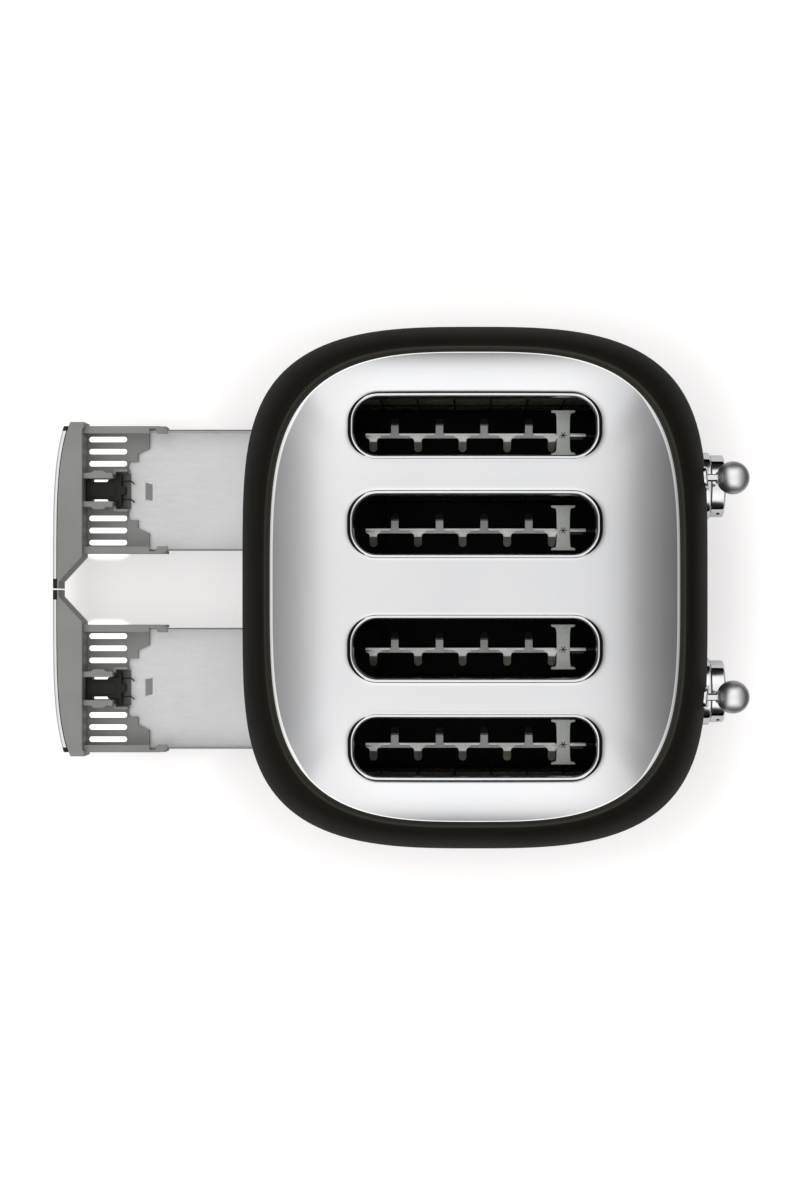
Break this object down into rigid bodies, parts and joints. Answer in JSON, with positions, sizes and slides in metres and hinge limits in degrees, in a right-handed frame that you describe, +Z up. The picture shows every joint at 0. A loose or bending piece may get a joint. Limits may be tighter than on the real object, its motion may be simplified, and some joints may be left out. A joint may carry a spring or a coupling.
{
  "type": "four-slot toaster",
  "caption": "Rounded retro toaster with side-by-side long bread slots, ball lift levers, round front knobs and slide-out crumb trays shown pulled out.",
  "frame": {"origin": "on the table, at the middle of the whole outline with both crumb trays pulled out", "axes": "+X to the front with the levers and knobs, -X to the trays, +Y to the right-hand side as the user sees the front, +Z up"},
  "size_m": [0.444, 0.326, 0.2129],
  "materials": {
    "shell_paint": "gloss warm black enamel",
    "polished_steel": "polished stainless sheet",
    "chrome_trim": "bright plating",
    "chassis_steel": "plain sheet steel",
    "rack_steel": "heat-dulled sheet steel",
    "mica": "layered mica sheet wound with flat wire",
    "base_plastic": "moulded, fine grain",
    "tray_plastic": "moulded mid grey",
    "latch_plastic": "moulded black",
    "tray_steel": "coated sheet, faint mottling",
    "foot_rubber": "matt rubber",
    "gland_rubber": "matt rubber",
    "board": "lacquered circuit board"
  },
  "bodies": {
    "housing": {"outer_shell": "shell_paint", "top_cover": "polished_steel", "base_pan": "base_plastic", "base_trim": "chrome_trim", "front_frame_plate": "chassis_steel", "rear_frame_plate": "chassis_steel", "control_board": "board", "cord_gland": "gland_rubber", "foot_front_right": "foot_rubber", "foot_front_left": "foot_rubber", "foot_rear_right": "foot_rubber", "foot_rear_left": "foot_rubber", "lever_frame_right": "chrome_trim", "lift_spring_right": "chassis_steel", "holding_magnet_right": "chassis_steel", "control_bezel_right": "chrome_trim", "heater_panel_right_1": "mica", "heater_panel_right_2": "mica", "heater_panel_right_3": "mica", "lever_frame_left": "chrome_trim", "lift_spring_left": "chassis_steel", "holding_magnet_left": "chassis_steel", "control_bezel_left": "chrome_trim", "heater_panel_left_1": "mica", "heater_panel_left_2": "mica", "heater_panel_left_3": "mica"},
    "lift_right": {"lever_knob_right": "chrome_trim", "lift_carriage_right": "chassis_steel", "bread_rack_right_1": "rack_steel", "bread_rack_right_2": "rack_steel"},
    "guides_right_a": {"guide_right_1_a": "rack_steel", "guide_right_2_a": "rack_steel"},
    "guides_right_b": {"guide_right_1_b": "rack_steel", "guide_right_2_b": "rack_steel"},
    "tray_right": {"tray_frame_right": "tray_plastic", "tray_pan_right": "tray_steel", "tray_latch_right": "latch_plastic", "tray_strip_right": "chrome_trim"},
    "control_shaft_right": {"control_shaft_right": "chassis_steel"},
    "browning_knob_right": {"browning_knob_right": "chrome_trim"},
    "function_button_right_1": {"function_button_right_1": "chrome_trim"},
    "function_button_right_2": {"function_button_right_2": "chrome_trim"},
    "function_button_right_3": {"function_button_right_3": "chrome_trim"},
    "lift_left": {"lever_knob_left": "chrome_trim", "lift_carriage_left": "chassis_steel", "bread_rack_left_1": "rack_steel", "bread_rack_left_2": "rack_steel"},
    "guides_left_a": {"guide_left_1_a": "rack_steel", "guide_left_2_a": "rack_steel"},
    "guides_left_b": {"guide_left_1_b": "rack_steel", "guide_left_2_b": "rack_steel"},
    "tray_left": {"tray_frame_left": "tray_plastic", "tray_pan_left": "tray_steel", "tray_latch_left": "latch_plastic", "tray_strip_left": "chrome_trim"},
    "control_shaft_left": {"control_shaft_left": "chassis_steel"},
    "browning_knob_left": {"browning_knob_left": "chrome_trim"},
    "function_button_left_1": {"function_button_left_1": "chrome_trim"},
    "function_button_left_2": {"function_button_left_2": "chrome_trim"},
    "function_button_left_3": {"function_button_left_3": "chrome_trim"}
  },
  "joints": [
    {"name": "lift_right_slide", "type": "slide", "parent": "housing", "child": "lift_right", "axis": [0, 0, -1], "range_m": [0, 0.058], "stiffness_N_per_m": 60, "springref_m": -0.06, "deforming": ["lift_spring_right"]},
    {"name": "guides_right_a_slide", "type": "slide", "parent": "housing", "child": "guides_right_a", "axis": [0, 1, 0], "range_m": [0, 0.0048]},
    {"name": "guides_right_b_slide", "type": "slide", "parent": "housing", "child": "guides_right_b", "axis": [0, -1, 0], "range_m": [0, 0.0048]},
    {"name": "tray_right_slide", "type": "slide", "parent": "housing", "child": "tray_right", "axis": [-1, 0, 0], "range_m": [-0.142, 0.07]},
    {"name": "stop_right_press", "type": "slide", "parent": "housing", "child": "control_shaft_right", "axis": [-1, 0, 0], "range_m": [0, 0.0015], "stiffness_N_per_m": 600},
    {"name": "browning_right_turn", "type": "hinge", "parent": "control_shaft_right", "child": "browning_knob_right", "pos_m": [0.20825, 0.0662, 0.061], "axis": [1, 0, 0], "range_deg": [-135, 135]},
    {"name": "function_button_right_1_press", "type": "slide", "parent": "housing", "child": "function_button_right_1", "axis": [-1, 0, 0], "range_m": [0, 0.0015], "stiffness_N_per_m": 300},
    {"name": "function_button_right_2_press", "type": "slide", "parent": "housing", "child": "function_button_right_2", "axis": [-1, 0, 0], "range_m": [0, 0.0015], "stiffness_N_per_m": 300},
    {"name": "function_button_right_3_press", "type": "slide", "parent": "housing", "child": "function_button_right_3", "axis": [-1, 0, 0], "range_m": [0, 0.0015], "stiffness_N_per_m": 300},
    {"name": "lift_left_slide", "type": "slide", "parent": "housing", "child": "lift_left", "axis": [0, 0, -1], "range_m": [0, 0.058], "stiffness_N_per_m": 60, "springref_m": -0.06, "deforming": ["lift_spring_left"]},
    {"name": "guides_left_a_slide", "type": "slide", "parent": "housing", "child": "guides_left_a", "axis": [0, 1, 0], "range_m": [0, 0.0048]},
    {"name": "guides_left_b_slide", "type": "slide", "parent": "housing", "child": "guides_left_b", "axis": [0, -1, 0], "range_m": [0, 0.0048]},
    {"name": "tray_left_slide", "type": "slide", "parent": "housing", "child": "tray_left", "axis": [-1, 0, 0], "range_m": [-0.142, 0.07]},
    {"name": "stop_left_press", "type": "slide", "parent": "housing", "child": "control_shaft_left", "axis": [-1, 0, 0], "range_m": [0, 0.0015], "stiffness_N_per_m": 600},
    {"name": "browning_left_turn", "type": "hinge", "parent": "control_shaft_left", "child": "browning_knob_left", "pos_m": [0.20825, -0.0662, 0.061], "axis": [1, 0, 0], "range_deg": [-135, 135]},
    {"name": "function_button_left_1_press", "type": "slide", "parent": "housing", "child": "function_button_left_1", "axis": [-1, 0, 0], "range_m": [0, 0.0015], "stiffness_N_per_m": 300},
    {"name": "function_button_left_2_press", "type": "slide", "parent": "housing", "child": "function_button_left_2", "axis": [-1, 0, 0], "range_m": [0, 0.0015], "stiffness_N_per_m": 300},
    {"name": "function_button_left_3_press", "type": "slide", "parent": "housing", "child": "function_button_left_3", "axis": [-1, 0, 0], "range_m": [0, 0.0015], "stiffness_N_per_m": 300}
  ],
  "couplings": [
    {"joint": "guides_right_a_slide", "follows": "lift_right_slide", "ratio": 0.0827},
    {"joint": "guides_right_b_slide", "follows": "lift_right_slide", "ratio": 0.0827},
    {"joint": "guides_left_a_slide", "follows": "lift_left_slide", "ratio": 0.0827},
    {"joint": "guides_left_b_slide", "follows": "lift_left_slide", "ratio": 0.0827}
  ]
}
